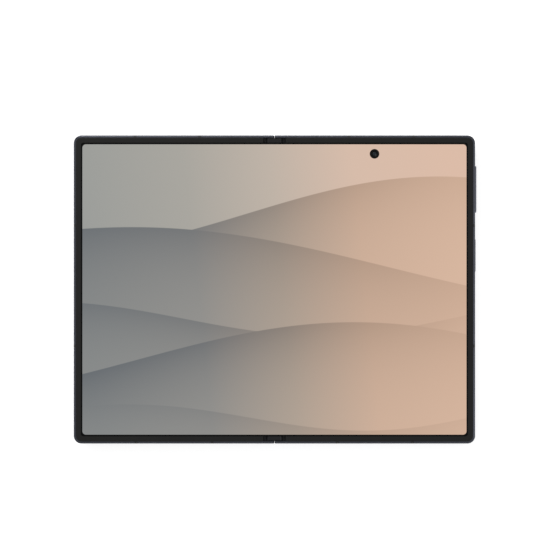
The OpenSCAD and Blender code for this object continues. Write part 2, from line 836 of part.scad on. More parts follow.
// Receptacle shell with its tongue
module usb_c_port() {
    floor_t = 0.8;
    tongue_start = 0.6;
    color(steel) lifted() translate([port_x, -half_h + port_front, port_z]) rotate([-90, 0, 0]) {
        difference() {
            linear_extrude(port_depth) stadium_2d(port_shell[0], port_shell[1]);
            translate([0, 0, -past]) linear_extrude(port_depth + past - floor_t)
                stadium_2d(port_mouth[0], port_mouth[1]);
        }
        block(-port_tongue[0] / 2, port_tongue[0] / 2, -port_tongue[1] / 2, port_tongue[1] / 2, tongue_start,
              port_depth - floor_t / 2);
    }
}

// Closed speaker box with an open chamber on its rear side
module loudspeaker() {
    mid_x = (loudspeaker_area[0] + loudspeaker_area[1]) / 2;
    mid_y = (loudspeaker_area[2] + loudspeaker_area[3]) / 2 + past;
    chamber = loudspeaker_chamber;
    color(dark) lifted() difference() {
        slab(loudspeaker_area, loudspeaker_z, board_r);
        rounded_block(mid_x - chamber[0], mid_x + chamber[0], mid_y - chamber[1], mid_y + chamber[1], 0,
                      loudspeaker_z[0] + 0.3, chamber[2]);
    }
}

// Dome switches under the two keys, on a strip inside the wall
module key_switches() {
    color(gold) lifted() {
        block(inner_x - switch_strip_t, inner_x, switch_strip_y[0], switch_strip_y[1], switch_strip_z[0],
              switch_strip_z[1]);
        for (y = nub_y)
            translate([inner_x - touch, y, key_z]) rotate([0, 90, 0])
                cylinder(r = switch_dome_r, h = switch_dome_h + touch);
    }
}

module right_magnets() {
    color(steel) lifted() magnets(right_magnet_z);
}

module right_display_plate() {
    color(steel) lifted() difference() {
        display_sheet(web_top, plate_top);
        rod_z(camera_x, camera_y, camera_r, 0, body_t);
    }
}

module right_display_panel() {
    color([0.82, 0.69, 0.60]) lifted() difference() {
        display_sheet(plate_top, panel_top);
        rod_z(camera_x, camera_y, camera_r, 0, body_t);
    }
}

module right_rail_brackets() {
    color(steel) lifted() at_modules() rail_bracket(right_rail_y);
}

module right_hinge_screws() {
    color(steel) lifted() at_modules() hinge_screws(right_rail_y);
}

module right_wing_plate() {
    color(steel) lifted() wing_plate();
}

// Key bar whose length runs along the edge, with rounded ends and edges
module key_bar(l, out) {
    intersection() {
        translate([half_w - key_pocket + key_back, 0, key_z]) rotate([90, 0, 90])
            linear_extrude(key_pocket - key_back + out) stadium_2d(l, key_h);
        rounded_block(inner_x - past, half_w + out, -l / 2, l / 2, key_z - key_h, key_z + key_h, key_edge_r);
    }
}

// Nub behind a key that presses its dome switch
module key_nub(y) {
    back = half_w - key_pocket;
    block(back - nub_reach, back + key_back + touch, y - nub[0] / 2, y + nub[0] / 2,
          key_z - nub[1] / 2, key_z + nub[1] / 2);
}

module volume_key() {
    color(key_metal) lifted() {
        translate([0, volume_y, 0]) key_bar(volume_l, volume_out);
        rod_z(half_w - key_pocket, volume_y, rock_pin_r, key_z - rock_pin_h / 2, key_z + rock_pin_h / 2);
        key_nub(nub_y[0]);
        key_nub(nub_y[1]);
    }
}

module power_key() {
    color(key_metal) lifted() {
        translate([0, power_y, 0]) key_bar(power_l, power_out);
        key_nub(nub_y[2]);
    }
}

// ---- Left half, its X counted from the fold ---------------------------------------------------

module left_frame() {
    color(metal) left_side() difference() {
        frame_blank(left_rail_y);
        break_slabs(left_edge_breaks);
        // Slot of the card tray
        translate([tray_x, -half_h - past, tray_z]) rotate([-90, 0, 0])
            linear_extrude(wall + 2 * past) stadium_2d(tray_w + 2 * tray_gap, tray_t + 2 * tray_gap);
        // Upper speaker and lower microphone holes
        edge_holes(upper_grille_x, upper_grille_n, upper_hole_r, 1);
        edge_holes(left_mic_x, 1, mic_r, -1);
    }
}

module left_antenna_breaks() {
    color(dark) left_side() intersection() {
        frame_blank(left_rail_y);
        break_slabs(left_edge_breaks);
    }
}

module left_bezel() {
    color(dark) left_side() bezel_half();
}

module cover_glass() {
    color(glossy_black) left_side() cover_blank();
}

module cover_display() {
    edge = wall + 0.4;
    color([0.10, 0.10, 0.12]) left_side() difference() {
        rounded_block(beam_x + 0.5, half_w - edge, -half_h + edge, half_h - edge, cover_display_z[0],
                      cover_display_z[1], plate_r);
        rod_z(cover_camera_x, cover_camera_y, cover_camera_r + touch, 0, body_t);
    }
}

// Camera of the closed phone's front, looking out through the cover glass
module cover_camera() {
    funnel = [[1.2, glass_t + 0.15], [0.5, 1.1]];
    aperture_floor = 1.5;
    color(dark) left_side() translate([cover_camera_x, cover_camera_y, 0]) difference() {
        union() {
            rod_z(0, 0, cover_camera_r, glass_t, web_bottom);
            pad(0, 0, front_base, small_part_z, part_r);
        }
        rotate_extrude() polygon([
            [0, 0], [funnel[0][0], 0], funnel[0], funnel[1], [funnel[1][0], aperture_floor], [0, aperture_floor]
        ]);
    }
}

module left_battery() {
    color(foil) left_side() union() {
        slab(left_battery_area, left_battery_z, battery_r);
        slab(left_battery_tab, tab_z, tab_r);
    }
}

module left_board() {
    color(board_green) left_side() board_with_holes(left_board_area, board_z, left_board_holes);
}

module left_shield_can() {
    color(steel) left_side() {
        slab(left_can_1, can_z, can_r);
        slab(left_can_2, can_z, can_r);
        slab(left_can_3, [board_z[1], web_bottom], can_r);
    }
}

module top_speaker() {
    color(dark) left_side() slab(top_speaker_area, small_part_z, part_r);
}

module vibration_motor() {
    color(steel) left_side() slab(motor_area, small_part_z, part_r);
}

// Sleeve that the card tray slides in
module tray_reader() {
    outer = tray_w / 2 + reader_skin + reader_wall;
    inner = tray_w / 2 + reader_skin;
    end = -inner_y + tray_depth;
    color(steel) left_side() difference() {
        block(tray_x - outer, tray_x + outer, -inner_y + slack, end + 2 * touch, reader_z[0], reader_z[1]);
        block(tray_x - inner, tray_x + inner, -half_h, end - reader_wall + 2 * touch, reader_z[0] + reader_skin,
              reader_z[1] - reader_skin);
    }
}

// Flush cap and the drawer that holds a card on each side
module sim_tray() {
    rail_in = tray_half - tray_rail;
    frame_w = 3;
    ledge_t = 0.2;
    cap_depth = wall - 0.3;
    color(metal) left_side() difference() {
        union() {
            translate([tray_x, -half_h, tray_z]) rotate([-90, 0, 0])
                linear_extrude(cap_depth) stadium_2d(tray_w, tray_t);
            block(tray_x - tray_half, tray_x + tray_half, -half_h + cap_depth - touch, -half_h + tray_depth,
                  tray_z - tray_card_t, tray_z + tray_card_t);
        }
        // Pocket of the cards, and the window inside their ledge
        block(tray_x - rail_in, tray_x + rail_in, -inner_y + frame_w, -half_h + tray_depth - 2 * frame_w,
              tray_z - tray_card_t + ledge_t, tray_z + past);
        block(tray_x - rail_in + tray_shelf, tray_x + rail_in - tray_shelf, -inner_y + frame_w + tray_shelf,
              -half_h + tray_depth - 2 * frame_w - tray_shelf, tray_z - past, tray_z + past);
        // Eject hole, and the rounding that follows the frame's rear edge
        rod_y(tray_x - eject_dx, tray_z, eject_r, -half_h - past, -half_h + eject_depth);
        along_x(tray_x - tray_w, tray_x + tray_w) corner_cut(-half_h, 0, 0, rear_edge_r);
    }
}

module left_magnets() {
    color(steel) left_side() magnets(left_magnet_z);
}

module left_display_plate() {
    color(steel) left_side() display_sheet(web_top, plate_top);
}

module left_display_panel() {
    color([0.58, 0.58, 0.57]) left_side() display_sheet(plate_top, panel_top);
}

module left_rail_brackets() {
    color(steel) left_side() at_modules() rail_bracket(left_rail_y);
}

module left_hinge_screws() {
    color(steel) left_side() at_modules() hinge_screws(left_rail_y);
}

module left_wing_plate() {
    color(steel) left_side() wing_plate();
}

// ---- Hinge spine ------------------------------------------------------------------------------

// Section of the spine: round about both fold axes, flat between them, open above top
module spine_2d(r, top) {
    intersection() {
        union() {
            for (s = [-1, 1])
                translate([s * axis_x, axis_z]) circle(r, $fn = fine);
            translate([-axis_x, axis_z - r]) square([2 * axis_x, r]);
        }
        translate([-spine_r - axis_x, 0]) square([2 * (spine_r + axis_x), top]);
    }
}

module spine_cover() {
    color([0.22, 0.23, 0.25]) lifted() difference() {
        along_y(-spine_h, spine_h) difference() {
            spine_2d(spine_r, beam_top);
            spine_2d(spine_r - spine_wall, body_t);
        }
        // Notches under the swing arms
        at_modules()
            block(-trough_x - past, trough_x + past, arm_y[0] - arm_gap, arm_y[1] + arm_gap, arm_bottom - touch,
                  body_t);
    }
}

// Section of an end cap: round about the fold axes below, flat on top between two round shoulders
module cap_2d() {
    r = spine_r - slack / 2;
    intersection() {
        union() {
            for (s = [-1, 1])
                translate([s * axis_x, axis_z]) circle(r, $fn = fine);
            translate([-axis_x, axis_z - r]) square([2 * axis_x, 2 * r]);
        }
        union() {
            translate([-trough_x - past, 0]) square([2 * (trough_x + past), cap_shoulder]);
            translate([-cap_flat, 0]) square([2 * cap_flat, cap_top]);
            for (s = [-1, 1])
                translate([s * cap_flat, cap_top - cap_round]) circle(cap_round);
        }
    }
}

// Cap and plug that close the upper end of the spine
module end_cap() {
    difference() {
        along_y(spine_h, spine_end) cap_2d();
        along_x(-trough_x - past, trough_x + past) corner_cut(spine_end, cap_top, 180, cap_edge_r);
    }
    along_y(spine_h - plug_l, spine_h + touch) spine_2d(spine_r - spine_wall - slack / 2, beam_top - touch);
}

module spine_end_caps() {
    color(dark) lifted() {
        end_cap();
        mirror([0, 1, 0]) end_cap();
    }
}

// Ring-shaped groove of a curved rail, about the fold axis on one side
module rail_groove(rail_y, side) {
    along_y(rail_y[0] - side_gap, rail_y[1] + side_gap) translate([side * axis_x, axis_z]) difference() {
        circle(rail_r[1] + rail_gap, $fn = fine);
        circle(rail_r[0] - rail_gap, $fn = fine);
    }
}

// Blocks fixed in the spine: grooves for the curved rails, bearings for the gears
module hinge_brackets() {
    fit_r = spine_r - spine_wall - slack / 2;
    wall_top = 3.3;
    display_room = 1.4;
    chamber_r = disc_r[1] + 0.08;
    color([0.45, 0.46, 0.48]) lifted() at_modules() difference() {
        union() {
            along_y(module_end_y, wall_1_y[1]) spine_2d(fit_r, module_top);
            along_y(wall_2_y[0], wall_3_y[1]) spine_2d(fit_r, module_top);
            for (w = [wall_1_y, wall_2_y, wall_3_y])
                along_y(w[0], w[1]) difference() {
                    spine_2d(fit_r, wall_top);
                    translate([-display_room, module_top]) square([2 * display_room, past]);
                }
        }
        rail_groove(right_rail_y, 1);
        rail_groove(left_rail_y, -1);
        // Bearings of the shafts and idlers, and the chambers of the disc springs
        for (flip = [0, 1])
            mirror([flip, 0, 0]) {
                rod_y(arm_gear_x, arm_gear_z, shaft_r + bearing_gap, wall_1_y[0] - past, shaft_y[1] + touch);
                rod_y(arm_gear_x, arm_gear_z, chamber_r, wall_2_y[1], wall_3_y[0]);
                block(arm_gear_x - shaft_r, trough_x, wall_2_y[1], wall_3_y[0], arm_gear_z, body_t);
                rod_y(idler_x, idler_z, idler_pin_r + bearing_gap, idler_pin_y[0] - touch,
                      idler_pin_y[1] + touch);
            }
        for (y = spine_screw_y) {
            rod_z(0, y, spine_screw_r[0] + bearing_gap, 0, spine_screw_z[0] + 2 * touch);
            rod_z(0, y, spine_screw_r[1] + bearing_gap, spine_screw_z[0], body_t);
        }
    }
}

// Cupped washers packed along the shafts: their pressure gives the fold its friction
module disc_springs() {
    step = (wall_3_y[0] - wall_2_y[1]) / spring_count;
    cup = step - disc_t - slack / 2;
    inner = -disc_t / 2 + cup / 2;
    outer = -disc_t / 2 - cup / 2;
    color(gold) lifted() at_modules() for (s = [-1, 1])
        for (i = [0 : spring_count - 1])
            translate([s * arm_gear_x, wall_2_y[1] + (i + 0.5) * step, arm_gear_z])
                rotate([i % 2 == 0 ? 90 : -90, 0, 0]) rotate_extrude() polygon([
                    [disc_r[0], inner], [disc_r[1], outer],
                    [disc_r[1], outer + disc_t], [disc_r[0], inner + disc_t]
                ]);
}

// Screws that hold the blocks in the spine
module spine_screws() {
    color(steel) lifted() at_modules() for (y = spine_screw_y) {
        rod_z(0, y, spine_screw_r[0], spine_floor, spine_screw_z[0] + touch);
        rod_z(0, y, spine_screw_r[1], spine_screw_z[0], spine_screw_z[1]);
    }
}

// Outline of a small gear with straight-flanked teeth; phase turns its first tooth
module gear_2d(phase) {
    root_half = 10.5;
    tip_half = 5;
    step = 360 / gear_teeth;
    polygon([
        for (i = [0 : gear_teeth - 1])
            for (p = [[-root_half, root_r], [-tip_half, tip_r], [tip_half, tip_r], [root_half, root_r]])
                let (a = phase + i * step + p[0]) p[1] * [cos(a), sin(a)]
    ]);
}

// Tooth phases that mesh down the train. The left side is drawn mirrored, half a tooth on
half_tooth = 180 / gear_teeth;
right_arm_phase = 0;
left_arm_phase = half_tooth;
mesh_angle = atan2(idler_z - arm_gear_z, idler_x - arm_gear_x);
function idler_phase(arm_phase) = 2 * mesh_angle + 180 + half_tooth - arm_phase;

// Arm that turns with a half on its own shaft, with the outer gear of the train
module swing_arm(phase) {
    arm_t = [arm_bottom - arm_gear_z, hub_r];
    translate([arm_gear_x, 0, arm_gear_z]) {
        along_y(gear_y[0], gear_y[1]) gear_2d(phase);
        rod_y(0, 0, hub_r, arm_y[0], arm_y[1]);
        rod_y(0, 0, shaft_r, shaft_y[0], shaft_y[1]);
        difference() {
            block(0, arm_end_x - arm_gear_x, arm_y[0], arm_y[1], arm_t[0], arm_t[1]);
            block(arm_slot[0], arm_slot[1], arm_y[0] + arm_cheek, arm_y[1] - arm_cheek, -past, past);
        }
    }
}

module right_swing_arms() {
    color(steel) lifted() at_modules() swing_arm(right_arm_phase);
}

module left_swing_arms() {
    color(steel) left_side() at_modules() swing_arm(left_arm_phase);
}

module idler_gear(phase) {
    translate([idler_x, 0, idler_z]) {
        along_y(gear_y[0], gear_y[1]) gear_2d(phase);
        rod_y(0, 0, idler_pin_r, idler_pin_y[0], idler_pin_y[1]);
    }
}

module right_idler_gears() {
    color(gold) lifted() at_modules() idler_gear(idler_phase(right_arm_phase));
}

module left_idler_gears() {
    color(gold) left_side() at_modules() idler_gear(idler_phase(left_arm_phase));
}

// Ribbon cable that joins the boards of the two halves across the fold
module hinge_flex() {
    color([0.75, 0.50, 0.20]) lifted() {
        block(-flex_run[1], flex_run[1], -flex_half_h, flex_half_h, flex_z[0], flex_z[1]);
        block(flex_run[0], flex_run[1], flex_half_h - touch, flex_right_end, flex_z[0], flex_z[1]);
        block(-flex_run[1], -flex_run[0], flex_half_h - touch, flex_left_end, flex_z[0], flex_z[1]);
    }
}

// Strip of the display that bends over the hinge
module display_fold() {
    color([0.70, 0.64, 0.58]) lifted()
        block(-fold_half_w, fold_half_w, -fold_h, fold_h, plate_top, panel_top);
}

left_frame();
left_antenna_breaks();
left_bezel();
cover_glass();
cover_display();
cover_camera();
left_battery();
left_board();
left_shield_can();
top_speaker();
vibration_motor();
tray_reader();
sim_tray();
left_magnets();
left_display_plate();
left_display_panel();
left_rail_brackets();
left_hinge_screws();
left_wing_plate();
right_frame();
right_antenna_breaks();
right_bezel();
rear_glass();
camera_island();
lens_windows();
flash_window();
main_camera();
wide_camera();
inner_camera();
right_battery();
charging_coil();
main_board();
shield_cans();
lower_board();
usb_c_port();
loudspeaker();
key_switches();
right_magnets();
right_display_plate();
right_display_panel();
right_rail_brackets();
right_hinge_screws();
right_wing_plate();
volume_key();
power_key();
spine_cover();
spine_end_caps();
hinge_brackets();
disc_springs();
spine_screws();
left_swing_arms();
right_swing_arms();
left_idler_gears();
right_idler_gears();
hinge_flex();
display_fold();
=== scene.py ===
"""Looks of the foldable phone: finishes, the flexible display, lenses, studio. All lengths are in metres."""
import json
import math

import bmesh
import bpy
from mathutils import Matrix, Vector


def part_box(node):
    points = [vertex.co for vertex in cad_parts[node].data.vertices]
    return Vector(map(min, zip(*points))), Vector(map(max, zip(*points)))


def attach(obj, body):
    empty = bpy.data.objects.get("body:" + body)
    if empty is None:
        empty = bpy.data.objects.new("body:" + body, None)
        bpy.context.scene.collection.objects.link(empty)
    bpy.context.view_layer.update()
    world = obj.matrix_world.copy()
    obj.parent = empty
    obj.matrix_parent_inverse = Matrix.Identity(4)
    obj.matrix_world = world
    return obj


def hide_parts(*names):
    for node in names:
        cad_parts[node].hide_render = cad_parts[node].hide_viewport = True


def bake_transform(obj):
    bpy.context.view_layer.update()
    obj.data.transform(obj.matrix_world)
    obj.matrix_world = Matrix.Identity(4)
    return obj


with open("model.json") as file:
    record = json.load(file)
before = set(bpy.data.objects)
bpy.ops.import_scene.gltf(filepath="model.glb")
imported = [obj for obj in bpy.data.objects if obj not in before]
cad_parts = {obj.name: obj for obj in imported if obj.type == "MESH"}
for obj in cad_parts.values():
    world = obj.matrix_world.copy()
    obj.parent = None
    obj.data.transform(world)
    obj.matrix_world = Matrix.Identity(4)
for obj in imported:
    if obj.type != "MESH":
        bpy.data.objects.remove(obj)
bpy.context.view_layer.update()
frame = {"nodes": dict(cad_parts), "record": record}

MM = 0.001

# ---- Places taken from the frame -----------------------------------------------------------------


def corners(node):
    """Lowest and highest corner of a CAD node, as vectors."""
    lo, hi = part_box(node)
    return Vector(lo), Vector(hi)


panel_lo, panel_hi = corners("right_display_panel")
left_panel_lo, _ = corners("left_display_panel")
_, strip_hi = corners("display_fold")
lens_lo, lens_hi = corners("lens_windows")
flash_lo, flash_hi = corners("flash_window")
frame_lo, frame_hi = corners("right_frame")
port_lo, port_hi = corners("usb_c_port")
camera_lo, camera_hi = corners("inner_camera")
cover_lo, cover_hi = corners("cover_glass")
cover_camera_lo, cover_camera_hi = corners("cover_camera")

HALF_W = frame_hi.x
HALF_H = frame_hi.y
PANEL_TOP = panel_hi.z
PANEL_BOTTOM = panel_lo.z
LIT_HALF_W = HALF_W - 3.56 * MM      # half width and half height of the lit picture
LIT_HALF_H = HALF_H - 3.65 * MM
LIT_CORNER = 1.4 * MM
BEND_HALF = 3.2 * MM                 # the display turns within this distance of the fold
FRONT_CAMERA = Vector(((camera_lo.x + camera_hi.x) / 2, (camera_lo.y + camera_hi.y) / 2, PANEL_TOP))
FRONT_CAMERA_R = 1.85 * MM           # of its round opening
SHEET_CORNER = 1.2 * MM              # corners of the display's sheet

# ---- Colours, linear -----------------------------------------------------------------------------


def linear(r, g, b):
    """An sRGB colour from 0 to 255 as the linear numbers that shaders take."""
    def one(c):
        c /= 255
        return c / 12.92 if c <= 0.04045 else ((c + 0.055) / 1.055) ** 2.4
    return (one(r), one(g), one(b), 1.0)


# ---- Node spelling -------------------------------------------------------------------------------


class Value:
    """A number that varies over a surface: arithmetic on it adds Math nodes to the material."""

    def __init__(self, tree, source):
        self.tree = tree
        self.source = source

    def math(self, operation, *others, clamp=False):
        node = self.tree.nodes.new("ShaderNodeMath")
        node.operation = operation
        node.use_clamp = clamp
        for socket, value in zip(node.inputs, (self, *others)):
            if isinstance(value, Value):
                self.tree.links.new(value.source, socket)
            else:
                socket.default_value = value
        return Value(self.tree, node.outputs[0])

    def __add__(self, other):
        return self.math("ADD", other)

    def __sub__(self, other):
        return self.math("SUBTRACT", other)

    def __mul__(self, other):
        return self.math("MULTIPLY", other)

    def sine(self):
        """Sine of an angle in radians."""
        return self.math("SINE")

    def fade(self, length):
        """1 at zero, falling off over this length, for values above zero."""
        return (self * (-1 / length)).math("EXPONENT")

    def step(self, width):
        """0 below zero and 1 above it, with a smooth change this wide."""
        node = self.tree.nodes.new("ShaderNodeMapRange")
        node.interpolation_type = "SMOOTHSTEP"
        node.inputs["From Min"].default_value = -width / 2
        node.inputs["From Max"].default_value = width / 2
        self.tree.links.new(self.source, node.inputs["Value"])
        return Value(self.tree, node.outputs["Result"])


NOISE_RANGE = (0.3, 0.7)             # nearly all of a noise texture's values lie in here


class Finish:
    """A Principled material under construction."""

    def __init__(self, name):
        self.material = bpy.data.materials.new(name)
        self.material.use_nodes = True
        self.tree = self.material.node_tree
        self.shader = self.tree.nodes["Principled BSDF"]

    def set(self, values):
        """Sets constants on the shader's sockets, by the sockets' names."""
        for name, value in values.items():
            self.shader.inputs[name].default_value = value
        return self

    def node(self, kind, **inputs):
        """A new node of this kind, with constants on some of its inputs."""
        made = self.tree.nodes.new(kind)
        for key, value in inputs.items():
            made.inputs[key].default_value = value
        return made

    def coordinates(self, which="Object"):
        """The object's own coordinates, or its UV map."""
        return self.node("ShaderNodeTexCoord").outputs[which]

    def place(self, which="Object"):
        """The first two coordinates as values."""
        split = self.node("ShaderNodeSeparateXYZ")
        self.tree.links.new(self.coordinates(which), split.inputs[0])
        return Value(self.tree, split.outputs[0]), Value(self.tree, split.outputs[1])

    def noise(self, grain, detail=2.0, stretch=(1, 1, 1)):
        """Noise whose spots are about grain metres across, stretched along some axes."""
        mapping = self.node("ShaderNodeMapping")
        mapping.inputs["Scale"].default_value = [s / grain for s in stretch]
        texture = self.node("ShaderNodeTexNoise", Scale=1.0, Detail=detail)
        self.tree.links.new(self.coordinates(), mapping.inputs["Vector"])
        self.tree.links.new(mapping.outputs["Vector"], texture.inputs["Vector"])
        return texture.outputs["Fac"]

    def mix(self, factor, a, b):
        """Colour between a and b; each may be a colour or a socket."""
        node = self.tree.nodes.new("ShaderNodeMix")
        node.data_type = "RGBA"
        for socket, value in ((node.inputs[0], factor), (node.inputs[6], a), (node.inputs[7], b)):
            if isinstance(value, Value):
                value = value.source
            if isinstance(value, bpy.types.NodeSocket):
                self.tree.links.new(value, socket)
            else:
                socket.default_value = value
        return node.outputs[2]

    def ramp(self, factor, stops):
        """Colour by factor, between (factor, colour) stops."""
        node = self.node("ShaderNodeValToRGB")
        while len(node.color_ramp.elements) < len(stops):
            node.color_ramp.elements.new(0.5)
        for element, (position, colour) in zip(node.color_ramp.elements, stops):
            element.position = position
            element.color = colour
        self.tree.links.new(factor.source if isinstance(factor, Value) else factor, node.inputs["Fac"])
        return node.outputs["Color"]

    def remap(self, source, low, high):
        """Noise spread between low and high."""
        node = self.node("ShaderNodeMapRange")
        node.inputs["From Min"].default_value, node.inputs["From Max"].default_value = NOISE_RANGE
        node.inputs["To Min"].default_value = low
        node.inputs["To Max"].default_value = high
        self.tree.links.new(source, node.inputs["Value"])
        return node.outputs["Result"]

    def link(self, source, name):
        """Feeds a socket or a value into the shader's input of this name."""
        self.tree.links.new(source.source if isinstance(source, Value) else source, self.shader.inputs[name])
        return self

    def bump(self, height, depth):
        """Roughens the surface by height, which runs from 0 to 1, over this depth."""
        node = self.node("ShaderNodeBump", Distance=depth, Strength=1.0)
        self.tree.links.new(height, node.inputs["Height"])
        self.tree.links.new(node.outputs["Normal"], self.shader.inputs["Normal"])
        return self


BROAD_GRAIN = 14 * MM                # size of the patches in which a finish's tone wanders


def surface(name, colour, roughness, grain, metallic=0.0, tone=0.12, wander=0.06, depth=0.0, stretch=(1, 1, 1),
            shine=0.5):
    """A finish with fine grain: its tone and roughness wander a little, and bump roughens it."""
    finish = Finish(name).set({"Metallic": metallic, "Specular IOR Level": shine})
    fine = finish.noise(grain, stretch=stretch)
    broad = finish.noise(BROAD_GRAIN, detail=3)
    dark = [c * (1 - tone) for c in colour[:3]] + [1]
    light = [min(1, c * (1 + tone)) for c in colour[:3]] + [1]
    finish.link(finish.mix(finish.remap(broad, 0, 1), dark, light), "Base Color")
    finish.link(finish.remap(fine, roughness - wander, roughness + wander), "Roughness")
    if depth:
        finish.bump(fine, depth)
    return finish


def outside_rounded(x, y, half_w, half_h, corner):
    """Distance outside a rounded rectangle round the origin: below zero inside it."""
    past_x = (x.math("ABSOLUTE") - (half_w - corner)).math("MAXIMUM", 0.0)
    past_y = (y.math("ABSOLUTE") - (half_h - corner)).math("MAXIMUM", 0.0)
    return (past_x * past_x + past_y * past_y).math("SQRT") - corner


def distance_to(x, y, centre):
    """Distance in the plane from a point's axis."""
    dx = x - centre.x
    dy = y - centre.y
    return (dx * dx + dy * dy).math("SQRT")


# ---- Display picture -----------------------------------------------------------------------------

DUNES = (                            # crest height, wave, wavelength, shift, shadow depth, shadow strength
    (0.52, 0.20, 1.90, 0.20, 0.34, 0.50),
    (0.18, 0.26, 2.60, 2.30, 0.42, 0.56),
    (-0.20, 0.17, 1.55, 4.10, 0.30, 0.50),
    (-0.50, 0.22, 2.20, 0.90, 0.36, 0.62),
    (-0.86, 0.12, 1.30, 3.20, 0.26, 0.34),
)
CREST_SOFTNESS = 0.006
RIPPLE_PACE = 2.3                    # a second, smaller wave on each crest
RIPPLE_SHIFT = 1.7
RIPPLE_HEIGHT = 0.06
ACROSS = (0.00, 0.30, 0.52, 0.74, 1.00)       # where the colours below lie, from left to right
SKY = ((154, 156, 153), (168, 165, 158), (190, 178, 166), (214, 187, 169), (219, 187, 167))
SAND = ((140, 142, 141), (152, 150, 146), (180, 165, 151), (209, 178, 156), (216, 183, 160))
SHADE = ((70, 80, 91), (74, 82, 91), (104, 98, 95), (154, 130, 113), (188, 156, 134))


def stops(places, colours):
    """Stops of a ramp from sRGB colours."""
    return [(place_at, linear(*colour)) for place_at, colour in zip(places, colours)]


def picture_colour(finish, u, v):
    """Soft layered dunes from grey on the left to peach on the right; u and v run from -1 to 1."""
    slant = u * 0.5 + v * 0.04 + 0.5
    sky, sand, shade = (finish.ramp(slant, stops(ACROSS, colours)) for colours in (SKY, SAND, SHADE))
    colour = sky
    for height, wave, length, shift, reach, strength in DUNES:
        swell = (u * (math.pi / length) + shift).sine() * wave
        crest = swell + (u * (RIPPLE_PACE / length) + shift * RIPPLE_SHIFT).sine() * RIPPLE_HEIGHT
        below = crest + height - v
        dark = below.math("MAXIMUM", 0.0).fade(reach) * strength
        colour = finish.mix(below.step(CREST_SOFTNESS), colour, finish.mix(dark, sand, shade))
    return colour


def display_finish():
    """The lit picture inside its black border, under a glossy film."""
    finish = Finish("display").set({"Roughness": 0.16, "Base Color": linear(5, 5, 6), "Specular IOR Level": 0.15,
                                    "Emission Strength": 1.0})
    u, v = finish.place("UV")
    x = (u - 0.5) * (2 * HALF_W)
    y = (v - 0.5) * (2 * HALF_H)
    edge = 0.06 * MM
    lit = outside_rounded(x, y, LIT_HALF_W, LIT_HALF_H, LIT_CORNER).math("MULTIPLY", -1.0).step(edge)
    black_ring = 0.08 * MM           # round the front camera's opening
    clear = (distance_to(x, y, FRONT_CAMERA) - (FRONT_CAMERA_R + black_ring)).step(edge)
    picture = picture_colour(finish, x * (1 / LIT_HALF_W), y * (1 / LIT_HALF_H))
    finish.link(finish.mix(lit * clear, (0, 0, 0, 1), picture), "Emission Color")
    return finish.material


def cover_finish():
    """Cover glass over its dark display: a black border, the unlit screen and the camera's window, with the lens
    painted flat in it and its bluish glint painted.
    """
    finish = surface("outer_glass", linear(9, 9, 11), 0.06, 6 * MM, tone=0.1, wander=0.02, shine=0.2)
    x, y = finish.place()
    middle = (cover_lo + cover_hi) / 2
    border = 1.6 * MM
    screen_corner = 2 * MM
    half = (cover_hi - cover_lo) / 2
    edge = 0.1 * MM
    screen = outside_rounded(x - middle.x, y - middle.y, half.x - border, half.y - border, screen_corner)
    screen = screen.math("MULTIPLY", -1.0).step(edge)
    colour = finish.mix(screen, linear(4, 4, 5), linear(27, 28, 32))
    camera = (cover_camera_lo + cover_camera_hi) / 2
    away = distance_to(x, y, camera)
    window_r = 2.1 * MM
    lens_r = 1.3 * MM
    # painted reflection: the lens is painted flat on the glass, and its blue and purple tints are painted glint
    # off its coating
    lens = finish.ramp(away * (1 / lens_r), stops(
        (0.0, 0.35, 0.6, 0.8, 0.92, 1.0),
        ((8, 8, 12), (34, 40, 78), (58, 50, 84), (12, 14, 18), (52, 54, 60), (4, 4, 5))))
    finish.link(finish.mix((away - window_r).step(edge), lens, colour), "Base Color")
    return finish.material


# ---- Finishes ------------------------------------------------------------------------------------


